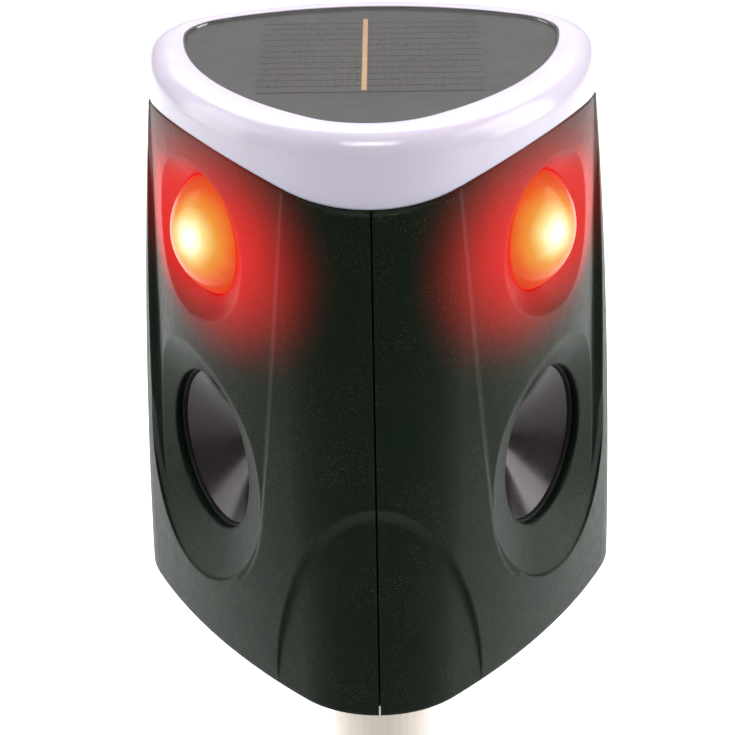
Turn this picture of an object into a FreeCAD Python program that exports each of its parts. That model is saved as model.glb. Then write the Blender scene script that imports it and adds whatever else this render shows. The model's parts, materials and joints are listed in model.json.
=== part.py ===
"""Solar ultrasonic pest repeller: a three-sided head that swivels on a two-section ground stake.

All lengths are in millimetres.  +Z is up and the origin is on the stake's axis at ground level,
so the ground spike and most of the lower tube are below or at the origin and the head is above it.
The front edge of the head points along -Y; one horn face looks to each side of it.
Pieces of the head are drawn with their own zero at the head's lower edge and raised by HEAD_Z.
"""
import FreeCAD, Part
import math
import os

V = FreeCAD.Vector
os.makedirs("parts", exist_ok=True)

# ---------------------------------------------------------------- stake
TUBE_R = 16.0                  # outer radius of both tubes
TUBE_WALL = 1.2
TUBE_LEN = 150.0
GROUND_IN = 62.0               # how much of the lower tube is below ground
SPIKE_COLLAR = 11.0
SPIKE_LEN = 47.0
SPIKE_R = 15.8
COUPLING_COLLAR = 3.0
COUPLING_LEN = 36.0
COUPLING_R = TUBE_R + 0.4      # the coupling shows as a thin raised band between the tubes
RUN_GAP = 0.05                 # radial clearance of parts that turn or slide on each other
FIT_GAP = 0.15                 # clearance between fixed neighbours
SOCKET_DEPTH = 26.0            # how far the upper tube goes into the head
LOWER_TOP = TUBE_LEN - GROUND_IN
UPPER_BOTTOM = LOWER_TOP + COUPLING_COLLAR
UPPER_TOP = UPPER_BOTTOM + TUBE_LEN
HEAD_Z = UPPER_TOP - SOCKET_DEPTH

# ---------------------------------------------------------------- head, plan outlines
# a rounded triangle: rear corner distance and radius, side radius, front corner distance and radius
BOTTOM = dict(rear_c=38.0, rear_r=42.2, side_r=252.9, front_c=55.15, front_r=29.8)
TOP = dict(rear_c=44.57, rear_r=29.4, side_r=112.8, front_c=35.0, front_r=39.0)
SIDE_BULGE = 2.0               # how far the sides bow out at mid height
EDGE_Z, EDGE_R, EDGE_SLOPE = 159.3, 68.0, 0.77   # the head's top edge lies on this cone
ENVELOPE_TOP = 166.0
RING_TOP = 176.4
RING_FILLET = 7.5
RING_INSET = 10.9              # from the ring's side to the panel's edge
WALL = 2.4
SEAM = 0.5                     # gap between neighbouring shells

# ---------------------------------------------------------------- horn and eye faces
FACE_ANGLE = -30.0             # direction of the right face's normal, degrees from +X
FACET_LEAN = 3.2               # how much further out the flat facet stands at the head's lower edge
HORN_U, HORN_H = 4.5, 58.5     # horn hole: towards the rear, and height
HORN_D, HORN_R = 56.2, 25.1    # its distance from the stake's axis, and radius
HORN_RIM_U, HORN_RIM_H, HORN_RIM_R = 3.2, 57.8, 38.6
EYE_U, EYE_H = -2.8, 131.8
EYE_D, EYE_R = 57.5, 18.0
EYE_RIM_U, EYE_RIM_H, EYE_RIM_R = -2.4, 132.0, 26.8
EYE_DOME = 10.0                # how far the lens bulges out of its seat
HORN_DEPTH = 13.0

# ---------------------------------------------------------------- base, controls, supply
BASE_Z, BASE_T = 1.5, 3.0
DIAL_X, DIAL_H, DIAL_R = -17.0, 52.0, 11.0
BUTTON_X, BUTTON_H, BUTTON_R = 17.0, 52.0, 6.5
LED_X, LED_H, LED_R = 0.0, 52.0, 2.0
PIR_H, PIR_R = 118.0, 15.0
REAR_D = 60.0                  # distance of the rear panel's flat pad from the axis
BUTTON_TRAVEL = 1.2
JACK_Y = 44.0
PLUG_HOLE_R = 3.3

# ---------------------------------------------------------------- charging cable
CORD_R = 2.0
HANK = dict(width=38.0, depth=20.0, top=107.0, bottom=2.0)


def arc(a, b, c):
    return Part.Arc(a, b, c).toShape()


def side_centre(p, p_r, q, q_r, side_r):
    """Centre of the arc of radius side_r that touches both corner circles from outside."""
    a, b, gap = side_r - p_r, side_r - q_r, (q - p).Length
    along = (a * a - b * b + gap * gap) / (2 * gap)
    across = math.sqrt(a * a - along * along)
    axis = (q - p).normalize()
    normal = V(-axis.y, axis.x, 0)
    return p + axis * along + normal * across


def outline(spec, z, grow=0.0):
    """Closed rounded-triangle wire at height z, anticlockwise, offset outwards by grow."""
    rear = spec["rear_c"]
    corners = [
        (V(0, -spec["front_c"], 0), spec["front_r"] + grow),
        (V(rear * math.cos(math.pi / 6), rear / 2, 0), spec["rear_r"] + grow),
        (V(-rear * math.cos(math.pi / 6), rear / 2, 0), spec["rear_r"] + grow),
    ]
    side_r = spec["side_r"] + grow
    centres, tangents = [], []
    for i in range(3):
        (p, p_r), (q, q_r) = corners[i], corners[(i + 1) % 3]
        centre = side_centre(p, p_r, q, q_r, side_r)
        centres.append(centre)
        tangents.append([centre + (c - centre).normalize() * side_r for c in (p, q)])
    edges, lift = [], V(0, 0, z)
    for i in range(3):
        p, p_r = corners[i]
        start, end = tangents[i - 1][1], tangents[i][0]
        middle = p + ((start + end) * 0.5 - p).normalize() * p_r
        edges.append(arc(start + lift, middle + lift, end + lift))
        far = tangents[i][1]
        middle = centres[i] + ((end + far) * 0.5 - centres[i]).normalize() * side_r
        edges.append(arc(end + lift, middle + lift, far + lift))
    return Part.Wire(edges)


def between(a, b, t):
    """Outline spec a share t of the way from a to b."""
    mix = {k: a[k] * (1 - t) + b[k] * t for k in a}
    mix["side_r"] = 1 / ((1 - t) / a["side_r"] + t / b["side_r"])
    return mix


def prism(spec, z0, z1, grow=0.0):
    return Part.Face(outline(spec, z0, grow)).extrude(V(0, 0, z1 - z0))


def envelope(grow=0.0, low=0.0):
    """Head body without its facets, bowed out at mid height."""
    half = (ENVELOPE_TOP + low) / 2
    middle = between(BOTTOM, TOP, half / EDGE_Z)
    wires = [outline(BOTTOM, low, grow), outline(middle, half, grow + SIDE_BULGE),
             outline(TOP, ENVELOPE_TOP, grow)]
    return Part.makeLoft(wires, True, False)


def facet_core(grow=0.0):
    """The body whose sides are the flat facets; it leans out towards the head's lower edge."""
    wires = [outline(TOP, -1, grow + FACET_LEAN), outline(TOP, ENVELOPE_TOP + 1, grow)]
    return Part.makeLoft(wires, True, True)


def below_edge(drop=0.0):
    """Everything under the cone that the head's top edge lies on, lowered by drop."""
    reach = 120.0
    rise = EDGE_Z + EDGE_SLOPE * EDGE_R - drop
    rim = rise - EDGE_SLOPE * reach
    cone = Part.makeCone(reach, 0, rise - rim, V(0, 0, rim))
    return cone.fuse(Part.makeCylinder(reach, rim + 50, V(0, 0, -50)))


def face_place(angle=FACE_ANGLE):
    """Placement with X along the face towards the rear, Y up and Z out of the face."""
    a = math.radians(angle)
    out = V(math.cos(a), math.sin(a), 0)
    along = V(-out.y, out.x, 0)
    m = FreeCAD.Matrix(along.x, 0, out.x, 0, along.y, 0, out.y, 0, 0, 1, 0, 0, 0, 0, 0, 1)
    return FreeCAD.Placement(m)


def on_face(shape, angle=FACE_ANGLE):
    moved = shape.copy()
    moved.Placement = face_place(angle).multiply(moved.Placement)
    return moved


def mirrored(shape):
    return shape.mirror(V(0, 0, 0), V(1, 0, 0))


def both_sides(shape):
    return [shape, mirrored(shape)]


def disc(u, h, d, r, length):
    """Cylinder in face coordinates, from distance d outwards by length."""
    return Part.makeCylinder(r, length, V(u, h, d))


def ellipse_wire(u, h, d, r_u, r_h):
    """Ellipse at height d with half sizes r_u and r_h: a unit circle stretched both ways."""
    stretch = FreeCAD.Matrix()
    stretch.scale(V(r_u, r_h, 1))
    wire = Part.Wire(Part.Circle(V(0, 0, 0), V(0, 0, 1), 1.0).toShape()).transformGeometry(stretch)
    wire.translate(V(u, h, d))
    return wire


FLARE_RISE = 12.0              # height that a well's flare is drawn to
FLARE_DRIFT = 1.44             # how far it moves towards the rim's centre by then, as a share


def dish(hole, rim, spread_u, spread_h, grow=0.0):
    """Flared well round a hole: hole is (u, h, d, r), rim is (u, h, r); spreads are per mm of depth."""
    u, h, d, r = hole
    rim_u, rim_h, rim_r = rim
    wide_u, wide_h = u + (rim_u - u) * FLARE_DRIFT, h + (rim_h - h) * FLARE_DRIFT
    flare = Part.makeLoft([
        ellipse_wire(u, h, d - grow, r + grow, r + grow),
        ellipse_wire(wide_u, wide_h, d - grow + FLARE_RISE, r + grow + spread_u * FLARE_RISE,
                     r + grow + spread_h * FLARE_RISE)], True, True)
    return flare.common(disc(rim_u, rim_h, d - grow - 1, rim_r + grow, 30))


# facet prism: sizes at two distances from the axis, measured from the horn rim's centre
FACET_NEAR = dict(d=54.0, front=20.5, rear=32.5, low=31.5)
FACET_FAR = dict(d=72.0, front=68.0, rear=52.0, low=43.5)
FACET_FRONT_LEAN, FACET_REAR_LEAN = math.radians(13.0), math.radians(7.0)
FACET_REAR_SHIFT = 1.5
FACET_TOP = 182.0
FACET_SHOULDER = 0.6           # how low the straight sides start, per mm of half width


def facet_wire(size, grow):
    """One section of the facet prism: round below, with straight sides that spread upwards."""
    d, front, rear = size["d"], size["front"] + grow, size["rear"] + grow
    f_lean, r_lean = FACET_FRONT_LEAN, FACET_REAR_LEAN
    f = V(-front * math.cos(f_lean), HORN_RIM_H - front * math.sin(f_lean) * FACET_SHOULDER, d)
    r = V(rear * math.cos(r_lean) + FACET_REAR_SHIFT,
          HORN_RIM_H - rear * math.sin(r_lean) * FACET_SHOULDER, d)
    bottom = V((f.x + r.x) / 2, HORN_RIM_H - size["low"] - grow, d)
    f_top = V(f.x - math.tan(f_lean) * (FACET_TOP - f.y), FACET_TOP, d)
    r_top = V(r.x + math.tan(r_lean) * (FACET_TOP - r.y), FACET_TOP, d)
    return Part.Wire([arc(f, bottom, r), Part.makeLine(r, r_top), Part.makeLine(r_top, f_top),
                      Part.makeLine(f_top, f)])


def tongue(grow=0.0):
    """Prism that bounds a facet: its walls slope outwards."""
    return Part.makeLoft([facet_wire(FACET_NEAR, grow), facet_wire(FACET_FAR, grow)], True, True)


# ---------------------------------------------------------------- head shells
HORN_DISH = ((HORN_U, HORN_H, HORN_D, HORN_R), (HORN_RIM_U, HORN_RIM_H, HORN_RIM_R), 4.0, 1.88)
EYE_DISH = ((EYE_U, EYE_H, EYE_D, EYE_R), (EYE_RIM_U, EYE_RIM_H, EYE_RIM_R), 3.4, 1.12)
ARCH_APEX, ARCH_W, ARCH_H = -48.0, 1.75, 1.95   # the arch's cone: apex and half sizes per mm
ARCH_TOP, ARCH_DEPTH = 70.0, 3.0
FLANGE_T, FLANGE_IN = 2.2, 9.0                  # stiffening flange along each seam
BOSS_R, PILOT_R, SHANK_R = 4.2, 1.3, 1.25
BOSS_TOP, BOSS_SPREAD = 18.0, 7.0               # height, and degrees to each side of a seam
BOSS_FRONT_REACH, BOSS_REAR_REACH = 22.2, 35.6  # distance from each corner's centre
PAD_W, PAD_LOW, PAD_HIGH = 30.0, 37.0, 67.0     # recessed control pad on the rear face
PIR_SEAT = 17.5
DIAL_SHAFT = 3.0
SEAM_ANGLES = (-90.0, 30.0, 150.0)


def polar(radius, angle, z=0.0):
    a = math.radians(angle)
    return V(radius * math.cos(a), radius * math.sin(a), z)


def wedge(middle, gap, low=-5.0, high=190.0):
    """A third of the plan, between two seams, held back from each seam by gap."""
    apex = polar(gap / math.sin(math.pi / 3), middle, low)
    points = [apex, apex + polar(200, middle - 60), apex + polar(400, middle),
              apex + polar(200, middle + 60), apex]
    return Part.Face(Part.makePolygon(points)).extrude(V(0, 0, high - low))


def arch_cone(grow=0.0):
    """Cone that bounds the arched recess on the head's front edge."""
    def ring(q):
        wire = ellipse_wire(0, 0, q, ARCH_W * (q + grow), ARCH_H * (q + grow))
        wire.rotate(V(0, 0, 0), V(1, 0, 0), 90)
        wire.translate(V(0, ARCH_APEX, 0))
        return wire
    return Part.makeLoft([ring(1.0), ring(48.0)], True, True)


def arch_floor(grow=0.0):
    """Body whose front is the recess's floor: it meets the envelope at the head's lower edge."""
    top = between(BOTTOM, TOP, ARCH_TOP / EDGE_Z)
    sink = SIDE_BULGE - ARCH_DEPTH
    wires = [outline(BOTTOM, -1, grow), outline(top, ARCH_TOP, grow + sink)]
    return Part.makeLoft(wires, True, True)


def rear_pad(grow=0.0):
    """Flat seats on the rear face: a rounded pad for the controls and a round one for the sensor."""
    low, high, half = PAD_LOW - grow, PAD_HIGH + grow, PAD_W + grow
    pad = Part.makeBox(2 * half, 30, high - low, V(-half, REAR_D - grow, low))
    uprights = [e for e in pad.Edges if abs(e.Vertexes[0].Y - e.Vertexes[1].Y) > 1]
    pad = pad.makeFillet(8.0, uprights)
    seat = Part.makeCylinder(PIR_SEAT + grow, 30, V(0, REAR_D - grow, PIR_H), V(0, 1, 0))
    return pad, seat


def cut_all(shape, tools):
    for tool in tools:
        shape = shape.cut(tool)
    return shape


def head_body(grow=0.0, low=0.0):
    """Head outline with facets, wells, arch and rear seats; grow < 0 gives the hollow inside it."""
    body = envelope(grow, low)
    facet = on_face(tongue(-grow)).cut(facet_core(grow))
    wells = [on_face(dish(*HORN_DISH, grow=-grow)), on_face(dish(*EYE_DISH, grow=-grow))]
    body = cut_all(body, both_sides(facet))
    for well in wells:
        body = cut_all(body, both_sides(well))
    body = body.cut(arch_cone(-grow).cut(arch_floor(grow)))
    return cut_all(body, rear_pad(-grow))


def horn_axis(r, d, length):
    return on_face(disc(HORN_U, HORN_H, d, r, length))


def rear_hole(x, h, r):
    return Part.makeCylinder(r, 40, V(x, REAR_D - 15, h), V(0, 1, 0))


def boss_points(z):
    spots = []
    for seam in SEAM_ANGLES:
        reach = BOTTOM["front_c"] + BOSS_FRONT_REACH
        if seam > 0:
            reach = BOTTOM["rear_c"] + BOSS_REAR_REACH
        spots += [polar(reach, seam + side * BOSS_SPREAD, z) for side in (-1, 1)]
    return spots


def shells():
    wall = head_body().cut(head_body(-WALL, low=-1.0)).common(below_edge())
    holes = both_sides(horn_axis(HORN_R, HORN_D - 8, 30))
    holes += both_sides(on_face(disc(EYE_U, EYE_H, EYE_D - 8, EYE_R, 30)))
    holes += [rear_hole(DIAL_X, DIAL_H, DIAL_SHAFT + RUN_GAP), rear_hole(LED_X, LED_H, LED_R + FIT_GAP),
              rear_hole(BUTTON_X, BUTTON_H, BUTTON_R + 0.3), rear_hole(0, PIR_H, PIR_R + FIT_GAP)]
    wall = cut_all(wall, holes)
    lining = envelope(0.1 - WALL, low=-1.0).cut(envelope(-FLANGE_IN, low=-2.0))
    lining = lining.common(Part.makeBox(300, 300, 144, V(-150, -150, 6)))
    boss_low = BASE_Z + BASE_T + FIT_GAP
    bosses = [Part.makeCylinder(BOSS_R, BOSS_TOP - boss_low, p) for p in boss_points(boss_low)]
    pilots = [Part.makeCylinder(PILOT_R, 30, p) for p in boss_points(-5)]
    made = {}
    for name, middle in (("front_left_shell", 210), ("front_right_shell", -30), ("rear_shell", 90)):
        third = wedge(middle, SEAM / 2)
        shell = wall.common(third)
        flange = lining.common(third).cut(wedge(middle, SEAM / 2 + FLANGE_T))
        shell = shell.fuse(flange)
        for boss in bosses:
            if third.isInside(boss.CenterOfMass, 0.01, True):
                shell = shell.fuse(boss)
        made[name] = cut_all(shell, pilots)
    return made


# ---------------------------------------------------------------- top: lamp ring and solar panel
RING_GAP = 0.45                # open line between the lamp ring and the shells
RING_WALL = 2.2
TRAY_FLANGE = 2.0
LAMP_Z, BOARD_T = 159.0, 1.6
SEAL_W = 0.8
LED_SIZE, LED_T = 3.5, 1.4
CELL_ROWS, CELL_T = 13, 0.2
CELL_X, CELL_LOW, CELL_HIGH = 33.0, -33.0, 40.0
CELL_GAP = 0.5
BUSBAR_X, BUSBAR_W = -2.6, 1.6


def rounded_top(grow, top, radius):
    solid = prism(TOP, 140, top, grow)
    rim = [e for e in solid.Edges if min(v.Z for v in e.Vertexes) > top - 0.01]
    return solid.makeFillet(radius, rim)


def light_ring():
    ring = rounded_top(0, RING_TOP, RING_FILLET).cut(below_edge(-RING_GAP))
    ring = ring.cut(rounded_top(-RING_WALL, RING_TOP - RING_WALL, RING_FILLET - RING_WALL))
    return ring.cut(prism(TOP, 150, RING_TOP + 5, -RING_INSET))


def ring_seal():
    band = prism(TOP, 145, 175, -0.7).cut(prism(TOP, 144, 176, -RING_WALL))
    return band.common(below_edge(0.05 - RING_GAP)).cut(below_edge(-0.05))


def solar_tray():
    flange_top = RING_TOP - RING_WALL - 0.1
    tray = prism(TOP, flange_top - TRAY_FLANGE, flange_top, -RING_FILLET - 0.1)
    tray = tray.fuse(prism(TOP, flange_top - 0.5, RING_TOP - 1.8, -RING_INSET - SEAL_W - 0.1))
    low = LAMP_Z + BOARD_T + FIT_GAP
    skirt = prism(TOP, low, flange_top - 1, -12.0).cut(prism(TOP, low - 1, flange_top, -13.6))
    return tray.fuse(skirt).removeSplitter()


def solar_cells():
    """Dark cell strips, one row above another in plan, clipped to the cell field."""
    z = RING_TOP - 1.8
    pitch = (CELL_HIGH - CELL_LOW) / CELL_ROWS
    inside = prism(TOP, z - 1, z + 2, -RING_INSET - 4.0)
    strips = []
    for row in range(CELL_ROWS):
        y = CELL_LOW + row * pitch
        strip = Part.makeBox(2 * CELL_X, pitch - CELL_GAP, CELL_T, V(-CELL_X, y, z + 0.02))
        strip = strip.common(inside)
        if strip.Volume > 1:
            strips.append(strip)
    return Part.makeCompound(strips)


def cell_busbar():
    z = RING_TOP - 1.8 + CELL_T + 0.05
    return Part.makeBox(BUSBAR_W, CELL_HIGH - CELL_LOW - 3, 0.15, V(BUSBAR_X, CELL_LOW + 1, z))


def solar_cover():
    low = RING_TOP - 1.8 + CELL_T + 0.25
    return prism(TOP, low, RING_TOP - 0.3, -RING_INSET - SEAL_W - 0.1)


def panel_seal():
    low, high = RING_TOP - RING_WALL, RING_TOP - 0.2
    return prism(TOP, low, high, -RING_INSET - 0.05).cut(
        prism(TOP, low - 1, high + 1, -RING_INSET - SEAL_W))


def lamp_board():
    board = prism(TOP, LAMP_Z, LAMP_Z + BOARD_T, -4.0)
    return board.cut(prism(TOP, LAMP_Z - 1, LAMP_Z + 3, -20.0))


def lamp_leds():
    path = outline(TOP, LAMP_Z + BOARD_T, -8.5)
    count = 18
    leds = []
    for p in path.discretize(Number=count + 1)[:-1]:
        chip = Part.makeBox(LED_SIZE, LED_SIZE, LED_T, V(-LED_SIZE / 2, -LED_SIZE / 2, 0.02))
        dome = Part.makeCylinder(LED_SIZE * 0.4, 0.3, V(0, 0, LED_T))
        led = chip.fuse(dome)
        led.rotate(V(0, 0, 0), V(0, 0, 1), math.degrees(math.atan2(p.y, p.x)))
        led.translate(p)
        leds.append(led)
    return Part.makeCompound(leds)


# ---------------------------------------------------------------- horns and eyes (face coordinates)
CONE_TOP = HORN_D - WALL - 1.2
CONE_R, CONE_T, THROAT_R = 24.0, 1.2, 2.4
CONE_FLANGE_R = 29.0
DRIVER_R, DRIVER_D = 12.0, 24.0
EYE_FLANGE_R, EYE_SKIN = 20.6, 1.6
EYE_BOARD_D = EYE_D - 8.6
EYE_LED_R = 2.5


def horn_cone():
    low = CONE_TOP - HORN_DEPTH
    at = (HORN_U, HORN_H)
    flare = Part.makeCone(THROAT_R + CONE_T, CONE_R + CONE_T, HORN_DEPTH, V(*at, low - CONE_T))
    body = flare.fuse(disc(*at, CONE_TOP - 1.4, CONE_FLANGE_R, 1.4))
    bore = Part.makeCone(THROAT_R, CONE_R, HORN_DEPTH, V(*at, low))
    cap = Part.makeSphere(THROAT_R * 1.02, V(*at, low - 0.4))
    cap = cap.common(disc(*at, low - 0.6, THROAT_R, 6))
    return body.cut(bore).fuse(cap).removeSplitter()


def horn_gasket():
    low = CONE_TOP + 0.03
    ring = disc(HORN_U, HORN_H, low, HORN_R + 2.1, HORN_D - WALL - 0.03 - low)
    return ring.cut(disc(HORN_U, HORN_H, low - 1, HORN_R - 0.5, 5))


def horn_driver():
    top = CONE_TOP - HORN_DEPTH - CONE_T - 0.05
    can = disc(HORN_U, HORN_H, DRIVER_D, DRIVER_R, top - 3 - DRIVER_D)
    return can.fuse(disc(HORN_U, HORN_H, top - 3, DRIVER_R * 0.6, 3)).removeSplitter()


def eye_lens():
    at = (EYE_U, EYE_H)
    r = EYE_R - 0.3
    ball_r = (r * r + EYE_DOME ** 2) / (2 * EYE_DOME)
    ball = Part.makeSphere(ball_r, V(*at, EYE_D + EYE_DOME - ball_r))
    dome = ball.common(disc(*at, EYE_D, r, 20))
    neck_low = EYE_D - WALL - 0.1
    lens = dome.fuse(disc(*at, neck_low, r, EYE_D - neck_low))
    lens = lens.fuse(disc(*at, neck_low - 1.6, EYE_FLANGE_R, 1.6))
    inner = Part.makeSphere(ball_r - EYE_SKIN, V(*at, EYE_D + EYE_DOME - ball_r))
    inner = inner.common(disc(*at, EYE_D - 8, r - EYE_SKIN, 20))
    inner = inner.fuse(disc(*at, EYE_D - 8, r - EYE_SKIN, 8.0))
    return lens.cut(inner).removeSplitter()


def eye_board():
    return disc(EYE_U, EYE_H, EYE_BOARD_D, EYE_FLANGE_R - 0.6, BOARD_T)


def eye_leds():
    base = EYE_BOARD_D + BOARD_T + 0.02
    spots = [(0, 0)] + [(9 * math.cos(a), 9 * math.sin(a))
                        for a in (math.radians(45 + 90 * i) for i in range(4))]
    leds = []
    for du, dh in spots:
        stem = disc(EYE_U + du, EYE_H + dh, base, EYE_LED_R, 2.6)
        tip = Part.makeSphere(EYE_LED_R, V(EYE_U + du, EYE_H + dh, base + 2.6))
        rim = disc(EYE_U + du, EYE_H + dh, base, EYE_LED_R + 0.4, 0.8)
        leds.append(stem.fuse(tip).fuse(rim).removeSplitter())
    return Part.makeCompound(leds)


# ---------------------------------------------------------------- inside and rear controls
MAIN_Y, MAIN_W, MAIN_LOW, MAIN_HIGH = 21.0, 31.0, 38.0, 150.0
CELL_R, CELL_LEN, CELL_Y, CELL_Z = 9.1, 65.0, 38.0, 86.0
DIAL_FACE = REAR_D + 0.4
DIAL_OUT = 6.2
INNER_Y = REAR_D - WALL


def along_y(r, y, length, x, h):
    return Part.makeCylinder(r, length, V(x, y, h), V(0, 1, 0))


RIB_COUNT, RIB_T, RIB_H = 6, 1.8, 12.0          # ribs that brace the tube socket
RIB_REACH = 20.0
SCREW_HEAD_R, SCREW_HEAD_T, SCREW_LEN = 2.6, 1.8, 15.0
SINK_R, THROUGH_R = 2.8, 1.6


def base_plate():
    """Plate inside the shells' lower edge, with the socket that turns on the stake's tube."""
    top = BASE_Z + BASE_T
    plate = prism(BOTTOM, BASE_Z, top, -WALL - 0.5)
    plate = plate.fuse(Part.makeCylinder(TUBE_R + 2.8, SOCKET_DEPTH + 2.2 - BASE_Z, V(0, 0, BASE_Z)))
    for i in range(RIB_COUNT):
        rib = Part.makeBox(RIB_REACH, RIB_T, RIB_H, V(TUBE_R + 2, -RIB_T / 2, BASE_Z + 1))
        rib.rotate(V(0, 0, 0), V(0, 0, 1), (i + 0.5) * 360 / RIB_COUNT)
        plate = plate.fuse(rib)
    plate = plate.cut(Part.makeCylinder(TUBE_R + RUN_GAP, SOCKET_DEPTH + 0.2, V(0, 0, 0)))
    for p in boss_points(0):
        plate = plate.cut(Part.makeCylinder(THROUGH_R, 20, p))
        plate = plate.cut(Part.makeCylinder(SINK_R, BASE_Z + SCREW_HEAD_T + 0.2, p))
    return plate.cut(Part.makeCylinder(PLUG_HOLE_R, 20, V(0, JACK_Y, 0))).removeSplitter()


def screws():
    made = []
    for p in boss_points(BASE_Z + 0.1):
        head = Part.makeCylinder(SCREW_HEAD_R, SCREW_HEAD_T, p)
        slot = Part.makeBox(3.6, 0.8, 0.8, p + V(-1.8, -0.4, 0))
        cross = Part.makeBox(0.8, 3.6, 0.8, p + V(-0.4, -1.8, 0))
        screw = head.fuse(Part.makeCylinder(SHANK_R, SCREW_LEN, p))
        made.append(screw.cut(slot).cut(cross))
    return Part.makeCompound(made)


def main_board():
    return Part.makeBox(2 * MAIN_W, BOARD_T, MAIN_HIGH - MAIN_LOW, V(-MAIN_W, MAIN_Y, MAIN_LOW))


# chips: x, z, width, height, thickness; round cans: x, z, radius, length
CHIPS = [(-10, 106, 10, 10, 1.8), (8, 108, 7, 5, 1.5), (-24, 120, 5, 4, 1.4), (18, 134, 6, 6, 2.2),
         (-20, 58, 9, 12, 3.2), (16, 60, 5, 5, 1.2)]
CANS = [(22, 112, 4, 3.6), (-5, 66, 3.2, 3.6), (5, 132, 5, 3.0)]


def board_parts():
    """Chips, coil and capacitors standing on the rear side of the main board."""
    y = MAIN_Y + BOARD_T + 0.02
    made = [Part.makeBox(w, t, h, V(x, y, z)) for x, z, w, h, t in CHIPS]
    made += [along_y(r, y, t, x, z) for x, z, r, t in CANS]
    return Part.makeCompound(made)


def battery_cell():
    cell = Part.makeCylinder(CELL_R, CELL_LEN, V(-CELL_LEN / 2, CELL_Y, CELL_Z), V(1, 0, 0))
    cap = Part.makeCylinder(3.0, 1.2, V(CELL_LEN / 2, CELL_Y, CELL_Z), V(1, 0, 0))
    return cell.fuse(cap).removeSplitter()


def battery_holder():
    half = CELL_LEN / 2 + 4.0
    box = Part.makeBox(2 * half, 2 * CELL_R + 3.2, 13.0,
                       V(-half, CELL_Y - CELL_R - 1.6, CELL_Z - CELL_R - 1.8))
    space = Part.makeCylinder(CELL_R + 0.2, 2 * half - 4, V(2 - half, CELL_Y, CELL_Z), V(1, 0, 0))
    room = Part.makeBox(2 * half - 4, 2 * CELL_R + 0.4, 20, V(2 - half, CELL_Y - CELL_R - 0.2, CELL_Z))
    return box.cut(space).cut(room)


def pir_lens():
    height = 7.0
    ball_r = (PIR_R ** 2 + height ** 2) / (2 * height)
    dome = Part.makeSphere(ball_r, V(0, REAR_D + height - ball_r, PIR_H)).common(
        along_y(PIR_R, REAR_D, 20, 0, PIR_H))
    body = dome.fuse(along_y(PIR_R, INNER_Y - 0.1, REAR_D - INNER_Y + 0.1, 0, PIR_H))
    body = body.fuse(along_y(PIR_R + 2, INNER_Y - 1.7, 1.6, 0, PIR_H))
    inner = Part.makeSphere(ball_r - 1.2, V(0, REAR_D + height - ball_r, PIR_H)).common(
        along_y(PIR_R - 1.2, REAR_D, 20, 0, PIR_H))
    inner = inner.fuse(along_y(PIR_R - 1.2, INNER_Y - 5, REAR_D - INNER_Y + 5, 0, PIR_H))
    return body.cut(inner).removeSplitter()


def pir_sensor():
    can = along_y(4.6, INNER_Y - 5, 4.4, 0, PIR_H).fuse(along_y(5.4, INNER_Y - 5.8, 1.0, 0, PIR_H))
    card = Part.makeBox(28, 1.6, 28, V(-14, INNER_Y - 7.4, PIR_H - 14))
    return can.fuse(card).removeSplitter()


def mode_dial():
    """Round knob with a fluted edge and a raised grip bar, on a shaft."""
    knob = along_y(DIAL_R, DIAL_FACE, DIAL_OUT - 2.4, DIAL_X, DIAL_H)
    flutes = 24
    for i in range(flutes):
        spot = polar(DIAL_R + 0.5, i * 360 / flutes)
        knob = knob.cut(along_y(0.95, DIAL_FACE - 1, 10, DIAL_X + spot.x, DIAL_H + spot.y))
    bar = Part.makeBox(4.0, 4.0, 2 * DIAL_R - 3,
                       V(DIAL_X - 2, DIAL_FACE + DIAL_OUT - 4, DIAL_H - DIAL_R + 1.5))
    tip = Part.makeBox(1.0, 0.6, 5.0, V(DIAL_X - 0.5, DIAL_FACE + DIAL_OUT - 0.05, DIAL_H + DIAL_R - 7))
    shaft = along_y(DIAL_SHAFT, INNER_Y - 7, DIAL_FACE - INNER_Y + 7.5, DIAL_X, DIAL_H)
    return knob.fuse(bar).fuse(tip).fuse(shaft).removeSplitter()


def rotary_switch():
    body = Part.makeBox(15, 10.5, 15, V(DIAL_X - 7.5, INNER_Y - 10.7, DIAL_H - 7.5))
    return body.cut(along_y(DIAL_SHAFT + RUN_GAP, INNER_Y - 7.2, 12, DIAL_X, DIAL_H))


def power_button():
    cap = along_y(BUTTON_R, INNER_Y - 1.0, REAR_D - INNER_Y + 3.4, BUTTON_X, BUTTON_H)
    rim = [e for e in cap.Edges if e.CenterOfMass.y > REAR_D + 2]
    cap = cap.makeFillet(0.9, rim)
    return cap.fuse(along_y(BUTTON_R + 1.6, INNER_Y - 1.9, 1.6, BUTTON_X, BUTTON_H)).removeSplitter()


def tact_switch():
    top = INNER_Y - 1.9 - BUTTON_TRAVEL - 0.1
    body = Part.makeBox(6.2, 3.4, 6.2, V(BUTTON_X - 3.1, top - 4.4, BUTTON_H - 3.1))
    card = Part.makeBox(16, 1.6, 16, V(BUTTON_X - 8, top - 6.0, BUTTON_H - 8))
    return body.fuse(card).fuse(along_y(1.7, top - 1.1, 1.1, BUTTON_X, BUTTON_H)).removeSplitter()


def status_led():
    led = along_y(LED_R, INNER_Y - 3, REAR_D - INNER_Y + 3.2, LED_X, LED_H)
    tip = Part.makeSphere(LED_R, V(LED_X, REAR_D + 0.2, LED_H))
    return led.fuse(tip).fuse(along_y(LED_R + 0.5, INNER_Y - 3, 1, LED_X, LED_H)).removeSplitter()


PLUG_R, PLUG_BORE, PIN_R = 2.75, 1.3, 1.0
PLUG_FACE = BASE_Z - 0.3       # the plug boot's end, just under the base
JACK_LOW = BASE_Z + BASE_T + 0.05


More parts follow.
